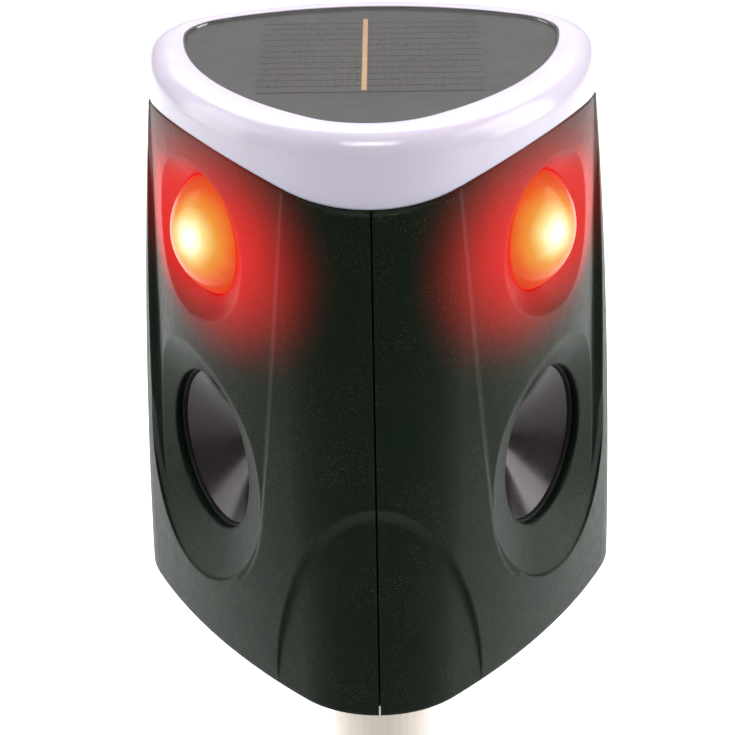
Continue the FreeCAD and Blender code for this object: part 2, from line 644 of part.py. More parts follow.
def dc_jack():
    jack = Part.makeBox(9, 9, 12, V(-4.5, JACK_Y - 4.5, JACK_LOW))
    jack = jack.cut(Part.makeCylinder(PLUG_R + RUN_GAP, 10.4, V(0, JACK_Y, JACK_LOW)))
    return jack.fuse(Part.makeCylinder(PIN_R, 9.5, V(0, JACK_Y, JACK_LOW + 1.6))).removeSplitter()


# ---------------------------------------------------------------- stake
def hollow_tube(low):
    tube = Part.makeCylinder(TUBE_R, TUBE_LEN, V(0, 0, low))
    return tube.cut(Part.makeCylinder(TUBE_R - TUBE_WALL, TUBE_LEN + 2, V(0, 0, low - 1)))


def tube_coupling():
    """Ribbed plug that fills the lower end of the upper tube and drops into the lower tube."""
    bore = TUBE_R - TUBE_WALL
    ribs = 16
    collar = Part.makeCylinder(COUPLING_R, COUPLING_COLLAR - 0.2, V(0, 0, LOWER_TOP + 0.1))
    spigot = Part.makeCylinder(bore - 1.1, COUPLING_LEN, V(0, 0, LOWER_TOP + 0.1 - COUPLING_LEN))
    lead_in = [e for e in spigot.Edges if e.CenterOfMass.z < LOWER_TOP - COUPLING_LEN + 1]
    spigot = spigot.makeFillet(2.0, lead_in)
    body = collar.fuse(spigot)
    for i in range(ribs):
        rib = Part.makeBox(2.4, 2.0, COUPLING_LEN - 3, V(bore - 2.6, -1.0, LOWER_TOP - COUPLING_LEN + 3))
        rib.rotate(V(0, 0, 0), V(0, 0, 1), i * 360 / ribs)
        body = body.fuse(rib)
    body = body.fuse(Part.makeCylinder(bore - 0.1, 22, V(0, 0, UPPER_BOTTOM - 0.15)))
    return body.cut(Part.makeCylinder(bore - 4, 100, V(0, 0, LOWER_TOP - COUPLING_LEN - 5))).removeSplitter()


def ground_spike():
    """Pointed foot: a plug in the lower tube, a plain collar and a long cone with a round tip."""
    low = -GROUND_IN
    tip_r = 2.2
    foot = Part.makeCylinder(SPIKE_R, SPIKE_COLLAR, V(0, 0, low - SPIKE_COLLAR - 0.1))
    cone = Part.makeCone(tip_r, SPIKE_R - 0.6, SPIKE_LEN, V(0, 0, low - SPIKE_COLLAR - SPIKE_LEN - 0.1))
    tip = Part.makeSphere(tip_r, V(0, 0, low - SPIKE_COLLAR - SPIKE_LEN))
    plug = Part.makeCylinder(TUBE_R - TUBE_WALL - 0.1, 24, V(0, 0, low - 0.2))
    body = foot.fuse(cone).fuse(tip).fuse(plug)
    return body.cut(Part.makeCylinder(TUBE_R - TUBE_WALL - 3, 30, V(0, 0, low + 1))).removeSplitter()


# ---------------------------------------------------------------- charging cable
BOOT_R, BOOT_LEN, RELIEF_LEN = 5.0, 15.0, 14.0
USB_X, USB_Z = 32.0, 98.0
USB_BOOT = dict(w=15.6, t=8.0, length=30.0)
USB_SHELL = dict(w=12.0, t=4.5, length=18.5, skin=0.35)
CABLE_Y = JACK_Y
LEAD_TOP = HEAD_Z + PLUG_FACE - BOOT_LEN - RELIEF_LEN
LEAD_ROUTE = [(0, CABLE_Y, LEAD_TOP), (0, CABLE_Y, LEAD_TOP - 10), (-1.5, CABLE_Y + 0.6, LEAD_TOP - 30),
              (-4.5, CABLE_Y, LEAD_TOP - 57), (-5.5, CABLE_Y, LEAD_TOP - 85)]
TAIL_ROUTE = [(4, CABLE_Y, 102), (4, CABLE_Y, 118.8), (12.2, CABLE_Y + 1, 127), (23.8, CABLE_Y + 1, 127),
              (32, CABLE_Y, 118.8), (32.6, CABLE_Y - 0.4, 108), (USB_X, CABLE_Y, USB_Z)]
ARC_SHARE = 0.45
TIE_H = 5.0


def cord_tube(name, route):
    """Round cord along straight runs joined by tangent arcs, as large as the runs allow."""
    points = [V(*p) for p in route]
    edges, here = [], points[0]
    for before, corner, after in zip(points, points[1:], points[2:]):
        back, on = (before - corner), (after - corner)
        run = min(back.Length, on.Length) * ARC_SHARE
        back.normalize()
        on.normalize()
        turn = math.pi - back.getAngle(on)
        radius = run / math.tan(turn / 2)
        print(name, "arc radius %.1f mm, turn %.0f deg" % (radius, math.degrees(turn)))
        start, end = corner + back * run, corner + on * run
        middle = corner + (back + on).normalize() * (radius / math.cos(turn / 2) - radius)
        edges += [Part.makeLine(here, start), arc(start, middle, end)]
        here = end
    edges.append(Part.makeLine(here, points[-1]))
    length = sum(e.Length for e in edges)
    ring = Part.Wire(Part.Circle(points[0], points[1] - points[0], CORD_R).toShape())
    tube = Part.Wire(edges).makePipeShell([ring], True, True)
    print("%s length %.1f mm, volume %.1f, section x length %.1f"
          % (name, length, tube.Volume, math.pi * CORD_R ** 2 * length))
    return tube


def stadium(width, depth, low, high, y, soften):
    """Upright rounded slab: round ends above and below, soft edges all round."""
    r = width / 2
    left, right = V(-r, y - depth / 2, low + r), V(r, y - depth / 2, low + r)
    up = V(0, 0, high - low - 2 * r)
    edges = [Part.makeLine(left + up, left), arc(left, V(0, y - depth / 2, low), right),
             Part.makeLine(right, right + up), arc(right + up, V(0, y - depth / 2, high), left + up)]
    slab = Part.Face(Part.Wire(edges)).extrude(V(0, depth, 0))
    return slab.makeFillet(soften, slab.Edges)


def round_uprights(box, radius):
    return box.makeFillet(radius, [e for e in box.Edges if abs(e.Vertexes[0].Z - e.Vertexes[1].Z) > 1])


def cable_hank():
    return stadium(HANK["width"], HANK["depth"], HANK["bottom"], HANK["top"], CABLE_Y, 7.0)


def twist_tie():
    z = (HANK["top"] + HANK["bottom"]) / 2
    w, d, t = HANK["width"], HANK["depth"], 1.0
    outer = Part.makeBox(w + 2 * t, d + 2 * t, TIE_H, V(-w / 2 - t, CABLE_Y - d / 2 - t, z - TIE_H / 2))
    gap = 0.05
    inner = Part.makeBox(w + 2 * gap, d + 2 * gap, TIE_H * 2,
                         V(-w / 2 - gap, CABLE_Y - d / 2 - gap, z - TIE_H))
    return round_uprights(outer, 7.0).cut(round_uprights(inner, 6.0))


def plug_barrel():
    top = PLUG_FACE + 12.0
    barrel = Part.makeCylinder(PLUG_R, 12.0, V(0, JACK_Y, PLUG_FACE))
    return barrel.cut(Part.makeCylinder(PLUG_BORE, 9.8, V(0, JACK_Y, top - 9.8)))


def plug_boot():
    low = PLUG_FACE - BOOT_LEN
    boot = Part.makeCylinder(BOOT_R, BOOT_LEN - 0.05, V(0, JACK_Y, low))
    for i in range(2):
        ring = Part.makeCylinder(BOOT_R + 1, 0.6, V(0, JACK_Y, low + 5 + 5 * i))
        boot = boot.cut(ring.cut(Part.makeCylinder(BOOT_R - 0.4, 2, V(0, JACK_Y, low + 4 + 5 * i))))
    relief = Part.makeCone(CORD_R + 0.7, BOOT_R - 1.4, RELIEF_LEN, V(0, JACK_Y, low - RELIEF_LEN))
    return boot.fuse(relief).removeSplitter()


def usb_boot():
    w, t, length = USB_BOOT["w"], USB_BOOT["t"], USB_BOOT["length"]
    body = Part.makeBox(w, t, length - 8, V(USB_X - w / 2, CABLE_Y - t / 2, USB_Z - length))
    body = round_uprights(body, 2.4)
    neck = Part.makeCone(3.7, CORD_R + 0.6, 8.05, V(USB_X, CABLE_Y, USB_Z - 8.05))
    return body.fuse(neck).removeSplitter()


def usb_shell():
    w, t, length, skin = (USB_SHELL[k] for k in ("w", "t", "length", "skin"))
    low = USB_Z - USB_BOOT["length"] - length - 0.05
    shell = Part.makeBox(w, t, length, V(USB_X - w / 2, CABLE_Y - t / 2, low))
    room = Part.makeBox(w - 2 * skin, t - 2 * skin, length - 1, V(USB_X - w / 2 + skin,
                                                                 CABLE_Y - t / 2 + skin, low - 0.5))
    shell = shell.cut(room)
    for side in (-1, 1):
        window = Part.makeBox(2.4, t + 2, 2.2, V(USB_X + side * 2.9 - 1.2, CABLE_Y - t / 2 - 1, low + 6))
        shell = shell.cut(window)
    return shell


def usb_tongue():
    low = USB_Z - USB_BOOT["length"] - USB_SHELL["length"]
    return Part.makeBox(11.0, 1.8, USB_SHELL["length"] - 2.6, V(USB_X - 5.5, CABLE_Y + 0.05, low + 0.6))


# ---------------------------------------------------------------- write every sub-part
def save(name, shape, lift=0.0):
    shape = shape.copy()
    if shape.ShapeType == "Compound" and len(shape.Solids) == 1:
        shape = shape.Solids[0]
    shape.translate(V(0, 0, lift))
    print("%-20s solids %2d valid %s volume %.0f"
          % (name, len(shape.Solids), shape.isValid(), shape.Volume))
    shape.exportStep("parts/%s.step" % name)


HEAD_PARTS = dict(
    base_plate=base_plate, base_screws=screws, light_ring=light_ring, ring_seal=ring_seal,
    solar_tray=solar_tray, solar_cells=solar_cells, cell_busbar=cell_busbar, solar_cover=solar_cover,
    panel_seal=panel_seal, lamp_board=lamp_board, lamp_leds=lamp_leds, main_board=main_board,
    board_parts=board_parts, battery_cell=battery_cell, battery_holder=battery_holder,
    pir_lens=pir_lens, pir_sensor=pir_sensor, mode_dial=mode_dial, rotary_switch=rotary_switch,
    power_button=power_button, tact_switch=tact_switch, status_led=status_led, dc_jack=dc_jack,
    dc_plug_barrel=plug_barrel, dc_plug_boot=plug_boot)
FACE_PARTS = dict(horn_cone=horn_cone, horn_gasket=horn_gasket, horn_driver=horn_driver,
                  eye_lens=eye_lens, eye_board=eye_board, eye_leds=eye_leds)

for part_name, shell_shape in shells().items():
    save(part_name, shell_shape, HEAD_Z)
for part_name, make in HEAD_PARTS.items():
    save(part_name, make(), HEAD_Z)
for part_name, make in FACE_PARTS.items():
    right, left = both_sides(on_face(make()))
    save(part_name + "_right", right, HEAD_Z)
    save(part_name + "_left", left, HEAD_Z)

save("upper_tube", hollow_tube(UPPER_BOTTOM))
save("tube_coupling", tube_coupling())
save("lower_tube", hollow_tube(-GROUND_IN))
save("ground_spike", ground_spike())
save("cable_lead", cord_tube("cable_lead", LEAD_ROUTE))
save("cable_tail", cord_tube("cable_tail", TAIL_ROUTE))
save("cable_hank", cable_hank())
save("twist_tie", twist_tie())
save("usb_boot", usb_boot())
save("usb_shell", usb_shell())
save("usb_tongue", usb_tongue())
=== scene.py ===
"""Looks of the solar pest repeller: materials, cable, lamp glow, studio and camera.

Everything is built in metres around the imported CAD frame.
"""
import bpy
import bmesh
import json
import math
from mathutils import Matrix, Vector


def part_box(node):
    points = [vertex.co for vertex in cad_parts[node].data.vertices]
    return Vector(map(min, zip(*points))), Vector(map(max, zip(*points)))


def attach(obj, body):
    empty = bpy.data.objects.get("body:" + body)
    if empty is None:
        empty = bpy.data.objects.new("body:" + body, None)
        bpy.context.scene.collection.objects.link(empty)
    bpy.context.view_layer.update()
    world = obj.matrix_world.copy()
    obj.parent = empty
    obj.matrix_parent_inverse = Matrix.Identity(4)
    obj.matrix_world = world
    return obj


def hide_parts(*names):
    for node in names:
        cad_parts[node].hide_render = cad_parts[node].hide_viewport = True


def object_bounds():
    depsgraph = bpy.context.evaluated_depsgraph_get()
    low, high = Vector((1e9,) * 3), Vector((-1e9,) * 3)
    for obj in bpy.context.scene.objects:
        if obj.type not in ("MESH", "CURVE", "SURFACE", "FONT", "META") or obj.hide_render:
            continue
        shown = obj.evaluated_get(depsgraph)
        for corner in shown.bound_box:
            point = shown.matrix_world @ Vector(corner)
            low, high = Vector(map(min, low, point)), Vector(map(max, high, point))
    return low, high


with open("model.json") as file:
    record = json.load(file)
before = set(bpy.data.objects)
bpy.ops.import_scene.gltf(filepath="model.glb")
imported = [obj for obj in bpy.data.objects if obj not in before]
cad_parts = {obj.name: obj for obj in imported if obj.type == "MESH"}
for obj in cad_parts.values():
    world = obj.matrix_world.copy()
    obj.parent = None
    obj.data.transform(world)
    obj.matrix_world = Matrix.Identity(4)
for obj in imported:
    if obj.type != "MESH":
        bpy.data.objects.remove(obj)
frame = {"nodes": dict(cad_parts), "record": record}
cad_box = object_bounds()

NODES = frame["nodes"]
HEAD_Z = 0.215                       # height of the head's lower edge above the ground line
FLOOR_Z = cad_box[0].z - 0.004       # the studio floor, just under the spike's tip
FACE_ANGLE = math.radians(-30)       # direction that the right horn face looks in, from +X
FACE_OUT = Vector((math.cos(FACE_ANGLE), math.sin(FACE_ANGLE), 0))
FACE_ALONG = Vector((-FACE_OUT.y, FACE_OUT.x, 0))


def on_face(u, h, d, side=1):
    """Point on a horn face: u along it towards the rear, h above the head's edge, d out from the axis."""
    p = FACE_ALONG * u + FACE_OUT * d + Vector((0, 0, HEAD_Z + h))
    return Vector((p.x * side, p.y, p.z))


SIDES = (-1, 1)
EYES = [on_face(0.0030, 0.1320, 0.0560, side) for side in SIDES]            # in the wells
GLOW_MIDDLES = [on_face(-0.0022, 0.1345, 0.0545, side) for side in SIDES]   # of the wide red glow of the eyes, painted on the shells
EYE_TIPS = [on_face(-0.0088, 0.1345, 0.0665, side) for side in SIDES]       # hot spots on the lenses


# ---------------------------------------------------------------- node helpers
SOCKETS = {"color": "Base Color", "rough": "Roughness", "metal": "Metallic", "normal": "Normal",
           "coat": "Coat Weight", "coat_rough": "Coat Roughness", "glow": "Emission Color",
           "glow_strength": "Emission Strength", "through": "Transmission Weight", "ior": "IOR",
           "soft": "Subsurface Weight", "soft_scale": "Subsurface Scale",
           "spec": "Specular IOR Level", "spec_tint": "Specular Tint"}


class Graph:
    """A material's node tree with short calls for the nodes used here."""

    def __init__(self, name):
        self.material = bpy.data.materials.new(name)
        self.material.use_nodes = True
        self.tree = self.material.node_tree
        self.shader = self.tree.nodes["Principled BSDF"]
        self.position = self.add("ShaderNodeTexCoord").outputs["Object"]

    def add(self, kind, **settings):
        node = self.tree.nodes.new(kind)
        for key, value in settings.items():
            setattr(node, key, value)
        return node

    def link(self, source, target):
        self.tree.links.new(source, target)

    def put(self, target, value):
        if hasattr(value, "is_output"):
            self.link(value, target)
        else:
            target.default_value = value

    def noise(self, scale, detail=2.0, rough=0.5, stretch=None):
        node = self.add("ShaderNodeTexNoise")
        node.inputs["Scale"].default_value = scale
        node.inputs["Detail"].default_value = detail
        node.inputs["Roughness"].default_value = rough
        self.link(self.scaled(stretch) if stretch else self.position, node.inputs["Vector"])
        return node.outputs["Fac"]

    def cells(self, scale, output="Color"):
        node = self.add("ShaderNodeTexVoronoi")
        node.inputs["Scale"].default_value = scale
        self.link(self.position, node.inputs["Vector"])
        return node.outputs[output]

    def scaled(self, factors):
        node = self.add("ShaderNodeMapping")
        node.inputs["Scale"].default_value = factors
        self.link(self.position, node.inputs["Vector"])
        return node.outputs["Vector"]

    def along(self, axis):
        node = self.add("ShaderNodeSeparateXYZ")
        self.link(self.position, node.inputs[0])
        return node.outputs[axis]

    def math(self, operation, a, b=0.0, c=0.0):
        node = self.add("ShaderNodeMath", operation=operation)
        for target, value in zip(node.inputs, (a, b, c)):
            self.put(target, value)
        return node.outputs[0]

    def fade(self, value, low, high, at_low=0.0, at_high=1.0):
        node = self.add("ShaderNodeMapRange", interpolation_type="SMOOTHSTEP")
        for key, number in (("From Min", low), ("From Max", high), ("To Min", at_low), ("To Max", at_high)):
            node.inputs[key].default_value = number
        self.put(node.inputs["Value"], value)
        return node.outputs["Result"]

    def mix(self, share, a, b):
        node = self.add("ShaderNodeMix", data_type="RGBA")
        self.put(node.inputs["Factor"], share)
        for target, value in ((node.inputs[6], a), (node.inputs[7], b)):
            self.put(target, (*value, 1) if isinstance(value, tuple) and len(value) == 3 else value)
        return node.outputs[2]

    def ramp(self, value, stops):
        node = self.add("ShaderNodeValToRGB")
        ramp = node.color_ramp
        while len(ramp.elements) < len(stops):
            ramp.elements.new(0.5)
        for element, (place, colour) in zip(ramp.elements, stops):
            element.position = place
            element.color = (*colour, 1)
        self.put(node.inputs["Fac"], value)
        return node.outputs["Color"]

    def distance(self, point, weights):
        node = self.add("ShaderNodeVectorMath", operation="DISTANCE")
        self.link(self.scaled(weights), node.inputs[0])
        node.inputs[1].default_value = [a * b for a, b in zip(point, weights)]
        return node.outputs["Value"]

    def nearest(self, points, weights=(1, 1, 1)):
        value = self.distance(points[0], weights)
        for point in points[1:]:
            value = self.math("MINIMUM", value, self.distance(point, weights))
        return value

    def bump(self, height, strength, depth, normal=None):
        node = self.add("ShaderNodeBump")
        node.inputs["Strength"].default_value = strength
        node.inputs["Distance"].default_value = depth
        self.put(node.inputs["Height"], height)
        if normal is not None:
            self.link(normal, node.inputs["Normal"])
        return node.outputs["Normal"]

    def soft_edges(self, radius):
        node = self.add("ShaderNodeBevel", samples=6)
        node.inputs["Radius"].default_value = radius
        return node.outputs["Normal"]

    def set(self, **values):
        for key, value in values.items():
            if isinstance(value, tuple) and len(value) == 3:
                value = (*value, 1)
            self.put(self.shader.inputs[SOCKETS[key]], value)
        return self.material


# ---------------------------------------------------------------- materials
def shell_green():
    """Dark moulded plastic with a fine sparkling grain; the eyes' red light is painted onto it in front as
    glow.
    """
    g = Graph("shell_green")
    spark = g.add("ShaderNodeSeparateColor")
    g.link(g.cells(5000), spark.inputs["Color"])
    patch = g.fade(g.noise(60, 3), 0.30, 0.62)
    fleck = g.math("MULTIPLY", g.fade(spark.outputs["Red"], 0.90, 0.97), patch)
    paint = g.mix(g.noise(45, 3), (0.0022, 0.0058, 0.0034), (0.0040, 0.0088, 0.0056))
    color = g.mix(fleck, paint, g.mix(spark.outputs["Green"], (0.085, 0.065, 0.038), (0.045, 0.055, 0.035)))
    # painted light: the eyes' red glow is painted onto the shell as emission, wide and close halos that fade
    # out towards the rear
    wide = g.fade(g.nearest(GLOW_MIDDLES, (1.12, 0.20, 0.98)), 0.008, 0.047, 1.0, 0.0)
    close = g.fade(g.nearest(EYES, (0.80, 0.55, 1.0)), 0.014, 0.030, 1.0, 0.0)
    ahead = g.fade(g.along("Y"), -0.004, 0.026, 1.0, 0.0)
    halo = g.math("MULTIPLY", g.math("MAXIMUM", g.math("POWER", wide, 2.0), close), ahead)
    glow = g.mix(halo, (0.0, 0.0, 0.0), (0.76, 0.0, 0.003))
    grain = g.math("ADD", g.noise(2600, 1), g.math("MULTIPLY", g.noise(900, 2), 0.5))
    normal = g.bump(grain, 0.30, 0.0001, g.soft_edges(0.0014))
    rough = g.fade(g.noise(300, 2), 0, 1, 0.36, 0.46)
    return g.set(color=color, metal=g.math("MULTIPLY", fleck, 0.6), rough=rough, spec=0.17,
                 spec_tint=(0.72, 1.0, 0.72), normal=normal, glow=glow, glow_strength=1.0)


def ring_milky():
    g = Graph("ring_milky")
    cloud = g.noise(30, 3)
    color = g.mix(cloud, (0.76, 0.68, 0.82), (0.80, 0.72, 0.86))
    normal = g.bump(g.noise(120, 2), 0.03, 0.0006, g.soft_edges(0.0006))
    return g.set(color=color, rough=g.fade(g.noise(80, 3), 0, 1, 0.16, 0.26), soft=0.25, soft_scale=0.006,
                 coat=0.3, coat_rough=0.08, normal=normal)


def panel_cover():
    g = Graph("panel_cover")
    wave = g.noise(35, 2)
    return g.set(color=g.mix(wave, (0.86, 0.83, 0.82), (0.93, 0.91, 0.90)), through=1.0, ior=1.47,
                 rough=g.fade(g.noise(60, 3), 0.2, 0.8, 0.03, 0.07), normal=g.bump(wave, 0.04, 0.0008))


def cell_dark():
    """Silicon with fine contact fingers across it."""
    g = Graph("cell_dark")
    finger_pitch = 0.0021
    finger = g.math("FRACT", g.math("MULTIPLY", g.along("X"), 1 / finger_pitch))
    line = g.fade(g.math("ABSOLUTE", g.math("SUBTRACT", finger, 0.5)), 0.05, 0.09, 1.0, 0.0)
    crystal = g.mix(g.noise(260, 4), (0.020, 0.017, 0.017), (0.036, 0.031, 0.030))
    color = g.mix(g.math("MULTIPLY", line, 0.35), crystal, (0.16, 0.13, 0.11))
    return g.set(color=color, rough=g.fade(g.noise(900, 2), 0, 1, 0.22, 0.4), metal=0.2,
                 normal=g.bump(g.noise(1200, 2), 0.1, 0.0001))


def plastic(name, dark, light, rough=(0.35, 0.5), grain=900, depth=0.00008, edge=0.0004):
    """Moulded plastic: slight colour drift, spark-eroded grain and softened edges."""
    g = Graph(name)
    color = g.mix(g.noise(60, 3), dark, light)
    normal = g.bump(g.noise(grain, 3), 0.3, depth, g.soft_edges(edge))
    return g.set(color=color, rough=g.fade(g.noise(150, 3), 0.2, 0.8, *rough), normal=normal)


def circuit_board():
    g = Graph("circuit_board")
    tracks = g.fade(g.cells(420, "Distance"), 0.28, 0.34)
    color = g.mix(tracks, (0.02, 0.16, 0.07), (0.012, 0.09, 0.04))
    return g.set(color=color, rough=g.fade(g.noise(300, 2), 0, 1, 0.3, 0.45),
                 normal=g.bump(tracks, 0.3, 0.0001))


def metal(name, dark, light, rough=(0.22, 0.4), stretch=(1, 1, 1), grain=400, bump=0.15):
    """Worked metal with grain along one axis, given by small factors in stretch."""
    g = Graph(name)
    lines = g.noise(grain, 4, stretch=stretch)
    color = g.mix(lines, dark, light)
    normal = g.bump(lines, bump, 0.00008, g.soft_edges(0.0003))
    return g.set(color=color, metal=1.0, rough=g.fade(g.noise(90, 3), 0.2, 0.8, *rough), normal=normal)


def eye_amber():
    """Lit lens: white-hot at the lamp behind it, through yellow and orange to red at its edge."""
    g = Graph("eye_amber")
    near = g.nearest(EYE_TIPS)
    wander = g.math("MULTIPLY", g.math("SUBTRACT", g.noise(220, 2), 0.5), 0.0022)
    reach = g.fade(g.math("ADD", near, wander), 0.0, 0.024)
    glow = g.ramp(reach, [(0.0, (1.0, 0.98, 0.84)), (0.05, (0.95, 0.90, 0.58)),
                          (0.18, (0.88, 0.66, 0.22)), (0.36, (0.86, 0.33, 0.045)),
                          (0.66, (0.80, 0.11, 0.018)), (1.0, (0.66, 0.028, 0.012))])
    strength = g.fade(near, 0.0, 0.010, 1.35, 0.95)
    return g.set(color=(0.10, 0.010, 0.003), glow=glow, glow_strength=strength,
                 rough=g.fade(g.noise(90, 2), 0, 1, 0.16, 0.26), spec=0.14,
                 normal=g.bump(g.noise(160, 2), 0.05, 0.0004))


def horn_black():
    g = Graph("horn_black")
    color = g.mix(g.noise(70, 3), (0.012, 0.009, 0.009), (0.024, 0.018, 0.017))
    return g.set(color=color, rough=g.fade(g.noise(160, 3), 0.2, 0.8, 0.16, 0.26),
                 spec_tint=(1.0, 0.93, 0.92),
                 normal=g.bump(g.noise(260, 2), 0.05, 0.0003, g.soft_edges(0.0003)))


def led_clear():
    g = Graph("led_clear")
    cloud = g.noise(500, 2)
    return g.set(color=g.mix(cloud, (0.95, 0.72, 0.42), (1.0, 0.84, 0.6)), rough=0.12, through=0.6, ior=1.5,
                 normal=g.bump(cloud, 0.05, 0.0002))


def battery_wrap():
    g = Graph("battery_wrap")
    color = g.mix(g.noise(90, 3), (0.02, 0.09, 0.30), (0.03, 0.13, 0.38))
    return g.set(color=color, rough=g.fade(g.noise(200, 2), 0, 1, 0.25, 0.4), coat=0.3, coat_rough=0.15,
                 normal=g.bump(g.noise(500, 2), 0.1, 0.0001))


def pir_white():
    g = Graph("pir_white")
    facets = g.cells(230, "Distance")
    color = g.mix(g.fade(facets, 0.2, 0.6), (0.80, 0.80, 0.76), (0.66, 0.66, 0.63))
    return g.set(color=color, rough=g.fade(g.noise(200, 2), 0, 1, 0.25, 0.4), soft=0.2, soft_scale=0.003,
                 normal=g.bump(facets, 0.5, 0.0006))


def cord_black():
    g = Graph("cord_black")
    color = g.mix(g.noise(110, 3), (0.010, 0.010, 0.011), (0.022, 0.021, 0.022))
    return g.set(color=color, rough=g.fade(g.noise(240, 3), 0.2, 0.8, 0.34, 0.5),
                 normal=g.bump(g.noise(1500, 2), 0.2, 0.00006))


MATERIALS = {
    "shell_green": shell_green(), "ring_milky": ring_milky(), "panel_cover": panel_cover(),
    "cell_dark": cell_dark(), "eye_amber": eye_amber(), "horn_black": horn_black(),
    "circuit_board": circuit_board(), "led_clear": led_clear(), "battery_wrap": battery_wrap(),
    "pir_white": pir_white(), "cord_black": cord_black(),
    "busbar": metal("busbar", (0.60, 0.38, 0.16), (0.85, 0.60, 0.32), (0.3, 0.45)),
    "tray_black": plastic("tray_black", (0.020, 0.018, 0.018), (0.030, 0.027, 0.027), (0.3, 0.45)),
    "seal_black": plastic("seal_black", (0.008, 0.008, 0.008), (0.016, 0.015, 0.015), (0.5, 0.65), 600),
    "electronic_parts": plastic("electronic_parts", (0.015, 0.015, 0.017), (0.03, 0.03, 0.033)),
    "driver_brass": metal("driver_brass", (0.42, 0.29, 0.11), (0.60, 0.43, 0.18), stretch=(1, 1, 0.1)),
    "control_black": plastic("control_black", (0.012, 0.012, 0.013), (0.022, 0.022, 0.023),
                             (0.4, 0.55), 1200),
    "tube_silver": metal("tube_silver", (0.60, 0.55, 0.49), (0.72, 0.67, 0.60), (0.3, 0.42),
                         (1, 1, 0.04), 700, 0.1),
    "stake_green": plastic("stake_green", (0.006, 0.034, 0.026), (0.010, 0.048, 0.036), (0.3, 0.45), 1100),
    "screw_steel": metal("screw_steel", (0.36, 0.36, 0.37), (0.52, 0.52, 0.53)),
    "plug_gold": metal("plug_gold", (0.62, 0.43, 0.22), (0.82, 0.62, 0.36), (0.2, 0.35), (1, 1, 0.2)),
}


def dress(obj, slot):
    obj.data.materials.clear()
    obj.data.materials.append(MATERIALS[slot])


for entry in frame["record"]["subparts"]:
    dress(NODES[entry["node"]], entry["material_slot"])


# ---------------------------------------------------------------- piece helpers
def new_mesh(name, build, smooth=True):
    """Object whose mesh is filled by build(bmesh)."""
    mesh = bpy.data.meshes.new(name)
    bm = bmesh.new()
    build(bm)
    bmesh.ops.recalc_face_normals(bm, faces=bm.faces)
    bm.to_mesh(mesh)
    bm.free()
    for polygon in mesh.polygons:
        polygon.use_smooth = smooth
    obj = bpy.data.objects.new(name, mesh)
    bpy.context.scene.collection.objects.link(obj)
    return obj


def lathe(name, profile, centre, steps=48):
    """Closed piece turned about a vertical axis through centre; profile lists (radius, height)."""
    def build(bm):
        rings = []
        for radius, height in profile:
            ring = []
            for i in range(steps):
                a = 2 * math.pi * i / steps
                ring.append(bm.verts.new((centre[0] + radius * math.cos(a),
                                          centre[1] + radius * math.sin(a), centre[2] + height)))
            rings.append(ring)
        for low, high in zip(rings, rings[1:]):
            for i in range(steps):
                bm.faces.new((low[i], low[(i + 1) % steps], high[(i + 1) % steps], high[i]))
        bm.faces.new(rings[0])
        bm.faces.new(rings[-1])
    return new_mesh(name, build)


def round_curve(name, points, diameter, closed=False):
    """Round cord along a smooth line whose control points are given in metres."""
    data = bpy.data.curves.new(name, "CURVE")
    data.dimensions = "3D"
    data.bevel_depth = diameter / 2
    data.bevel_resolution = 5
    data.resolution_u = 10
    data.use_fill_caps = True
    line = data.splines.new("NURBS")
    line.points.add(len(points) - 1)
    for point, place in zip(line.points, points):
        point.co = (*place, 1)
    line.order_u = 3
    line.use_endpoint_u = not closed
    line.use_cyclic_u = closed
    obj = bpy.data.objects.new(name, data)
    bpy.context.scene.collection.objects.link(obj)
    return obj


def finish_piece(obj, slot, body, *nodes):
    dress(obj, slot)
    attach(obj, body)
    if nodes:
        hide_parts(*nodes)
    return obj


# ---------------------------------------------------------------- charging cable
CORD_D = 0.004
TIE_D = 0.0014
CABLE_Y = 0.044                # the cable hangs behind the stake, under the charging socket
LEAD_TOP = 0.1872
LEAD = [(0, CABLE_Y, LEAD_TOP), (0, CABLE_Y, LEAD_TOP - 0.010), (-0.0015, CABLE_Y + 0.0006, LEAD_TOP - 0.030),
        (-0.0045, CABLE_Y, LEAD_TOP - 0.057), (-0.0055, CABLE_Y, LEAD_TOP - 0.085)]
TAIL = [(0.004, CABLE_Y, 0.100), (0.004, CABLE_Y, 0.1105), (0.0122, CABLE_Y + 0.001, 0.1186),
        (0.0238, CABLE_Y + 0.001, 0.1186), (0.032, CABLE_Y, 0.1105), (0.0324, CABLE_Y - 0.0004, 0.104),
        (0.032, CABLE_Y, 0.098)]
HANK_LOW, HANK_HIGH = 0.0045, 0.1035
HANK_TURNS = 4
HANK_STEP = 0.0042             # how far each turn lies behind the last
FOLD_LOW_R, FOLD_HIGH_R = 0.0158, 0.0142   # largest radii of the folds at its two ends
FOLD_REACH = 1.03              # control points lie this much outside the arc that they draw
WAIST = 0.0062                 # half width where the tie holds the hank
WAIST_Z = 0.062


